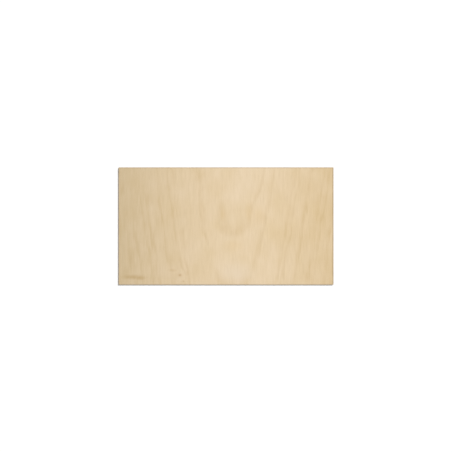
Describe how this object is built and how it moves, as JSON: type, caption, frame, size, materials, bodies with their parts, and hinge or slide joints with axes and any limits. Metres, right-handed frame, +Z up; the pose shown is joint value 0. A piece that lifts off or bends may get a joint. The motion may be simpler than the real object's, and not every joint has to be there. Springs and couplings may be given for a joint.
{
  "type": "plywood sheet",
  "caption": "Flat rectangular sheet of pale sanded plywood with its face grain across the short side, square sawn edges and lightly broken arrises; panel stock for building and joinery.",
  "frame": {"origin": "middle of the underside, where the sheet rests on a floor", "axes": "+X along the sheet's length, +Y along its width and the face grain, +Z up out of the better face"},
  "size_m": [2.75, 1.5, 0.018],
  "materials": {
    "birch_plywood": "sanded, unfinished rotary-cut birch veneer"
  },
  "bodies": {
    "root": {"plywood_sheet": "birch_plywood"}
  },
  "joints": []
}
